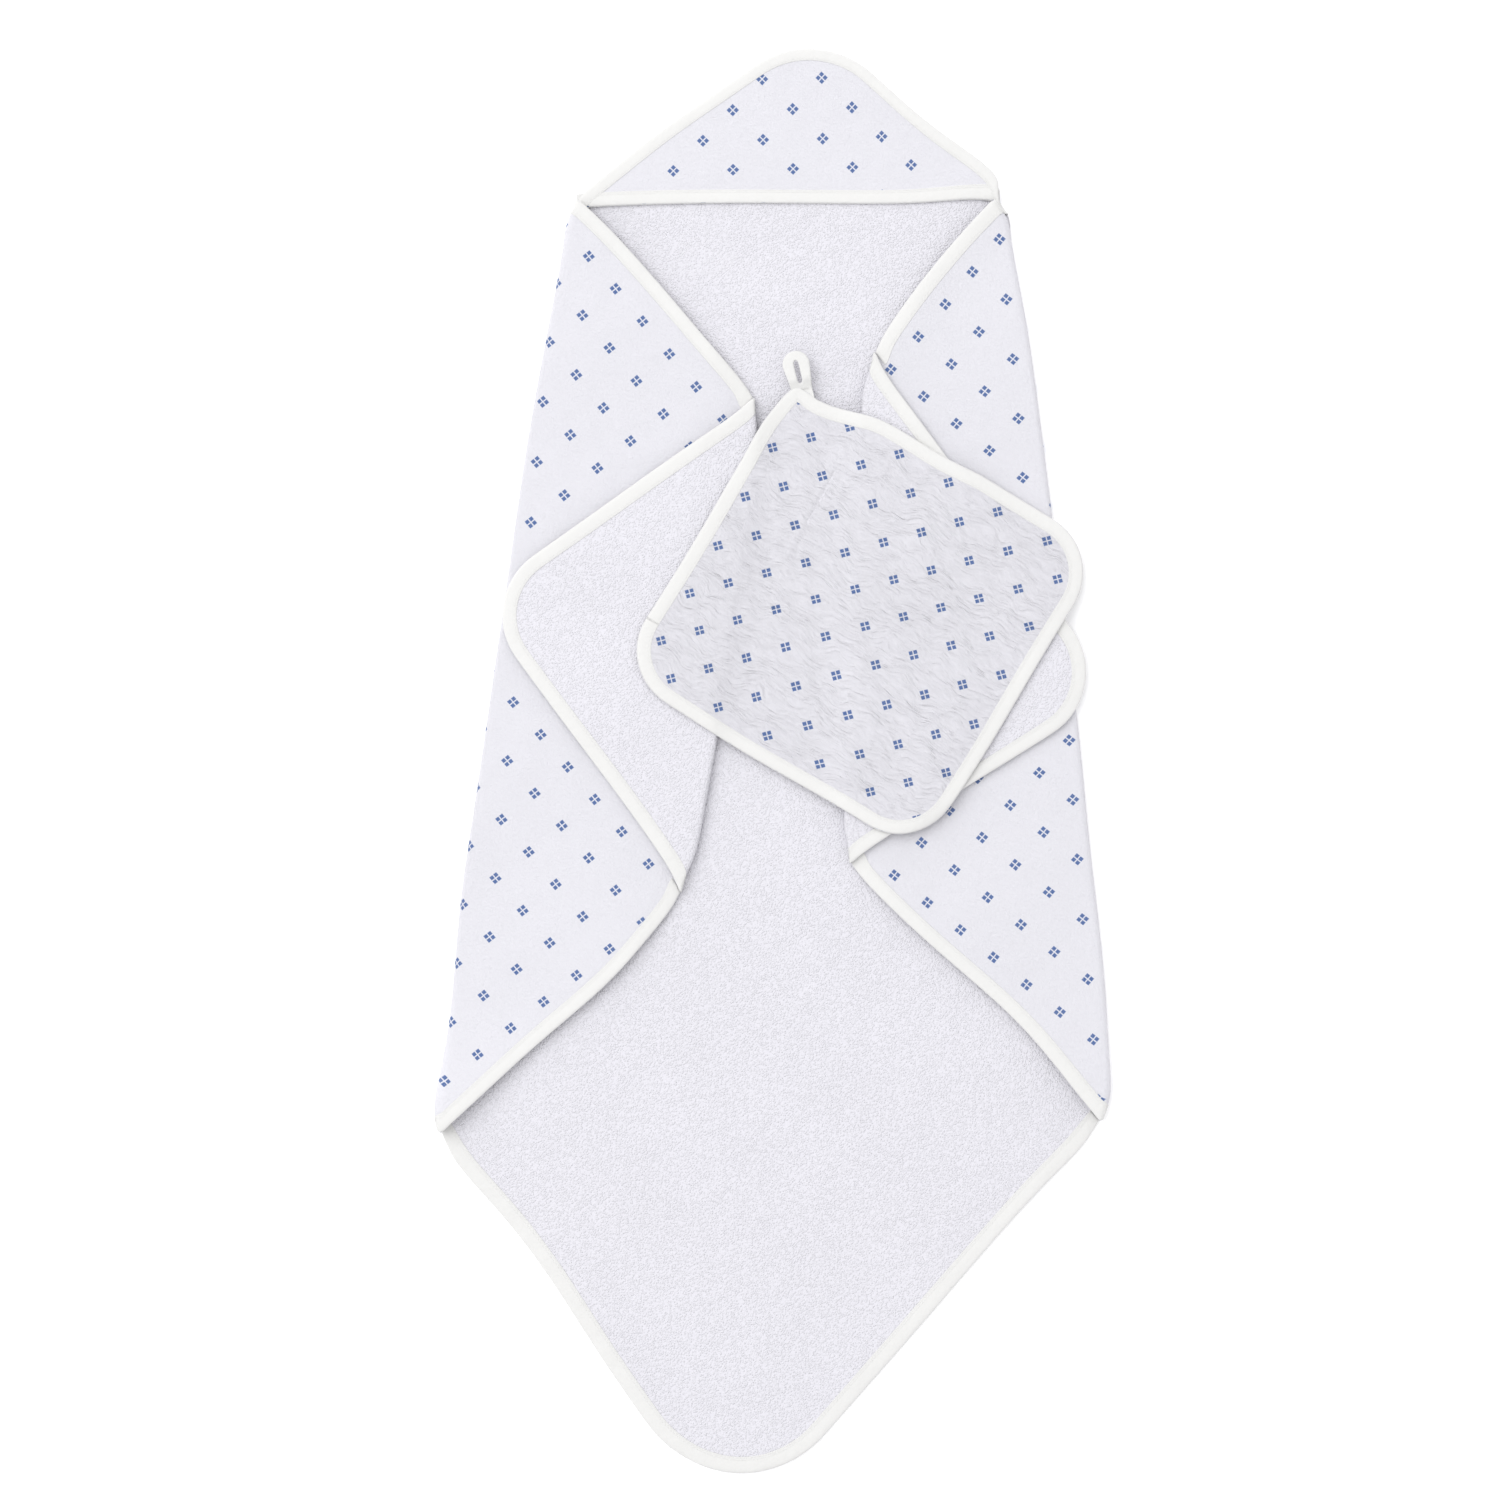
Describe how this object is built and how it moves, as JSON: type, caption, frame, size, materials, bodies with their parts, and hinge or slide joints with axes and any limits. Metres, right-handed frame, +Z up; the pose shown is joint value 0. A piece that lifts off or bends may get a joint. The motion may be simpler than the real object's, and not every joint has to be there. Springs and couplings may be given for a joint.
{
  "type": "hooded baby towel",
  "caption": "Hooded baby towel, terry inside and printed muslin outside, tape-bound and laid out with its side corners folded in, a matching washcloth with a hanging loop on top",
  "frame": {"origin": "on the surface under the middle of the folded towel's box", "axes": "+Y from the foot to the hood along the length, +Z up out of the surface, +X to the right with the hood away from you"},
  "size_m": [0.4708, 0.995, 0.0195],
  "materials": {
    "terry": "fine looped pile, pale lavender white",
    "printed_muslin": "smooth plain weave, pale lavender white with small blue four-square motifs",
    "printed_gauze": "crinkled open weave, pale lavender white with small blue four-square motifs",
    "binding_tape": "soft jersey tape, warm white",
    "thread": "matt sewing thread, white"
  },
  "bodies": {
    "root": {"muslin_centre_panel": "printed_muslin", "terry_centre_panel": "terry", "bottom_edge_binding": "binding_tape", "bottom_edge_stitching": "thread", "hood_terry_lining": "terry", "hood_muslin": "printed_muslin", "hood_hem_binding": "binding_tape", "hood_hem_stitching": "thread", "hood_edge_binding": "binding_tape", "hood_edge_stitching": "thread"},
    "left_flap": {"left_terry_flap": "terry", "left_muslin_flap": "printed_muslin", "left_flap_upper_binding": "binding_tape", "left_flap_lower_binding": "binding_tape", "left_flap_stitching": "thread"},
    "left_tip": {"left_muslin_tip": "printed_muslin", "left_terry_tip": "terry", "left_tip_binding": "binding_tape", "left_tip_stitching": "thread"},
    "right_flap": {"right_terry_flap": "terry", "right_muslin_flap": "printed_muslin", "right_flap_upper_binding": "binding_tape", "right_flap_lower_binding": "binding_tape", "right_flap_stitching": "thread"},
    "right_tip": {"right_muslin_tip": "printed_muslin", "right_terry_tip": "terry", "right_tip_binding": "binding_tape", "right_tip_stitching": "thread"},
    "washcloth": {"washcloth_back": "terry", "washcloth_front": "printed_gauze", "washcloth_binding": "binding_tape", "washcloth_stitching": "thread"},
    "loop": {"hanging_loop": "binding_tape", "loop_bartack": "thread"}
  },
  "joints": [
    {"name": "left_flap_fold", "type": "hinge", "parent": "root", "child": "left_flap", "pos_m": [-0.1412, 0.398, 0.00385], "axis": [-0.1457, -0.9893, 0], "range_deg": [0, 179]},
    {"name": "left_tip_fold", "type": "hinge", "parent": "left_flap", "child": "left_tip", "pos_m": [-0.06203, -0.09065, 0.00795], "axis": [0.1499, 0.9887, 0], "range_deg": [0, 179]},
    {"name": "right_flap_fold", "type": "hinge", "parent": "root", "child": "right_flap", "pos_m": [0.2355, -0.2425, 0.00385], "axis": [-0.1158, 0.9933, 0], "range_deg": [0, 179]},
    {"name": "right_tip_fold", "type": "hinge", "parent": "right_flap", "child": "right_tip", "pos_m": [0.06693, 0.28607, 0.00795], "axis": [-0.0489, -0.9988, 0], "range_deg": [0, 179]},
    {"name": "washcloth_lift", "type": "slide", "parent": "root", "child": "washcloth", "axis": [0, 0, 1], "range_m": [0, 0.66]},
    {"name": "loop_flip", "type": "hinge", "parent": "washcloth", "child": "loop", "pos_m": [0.02234, 0.26067, 0.0137], "axis": [0.972, 0.2351, 0], "range_deg": [0, 90]}
  ],
  "couplings": [
    {"joint": "left_tip_fold", "follows": "left_flap_fold", "ratio": 1},
    {"joint": "right_flap_fold", "follows": "left_flap_fold", "ratio": 1},
    {"joint": "right_tip_fold", "follows": "left_flap_fold", "ratio": 1},
    {"joint": "washcloth_lift", "follows": "left_flap_fold", "m_per_rad": 0.207}
  ]
}
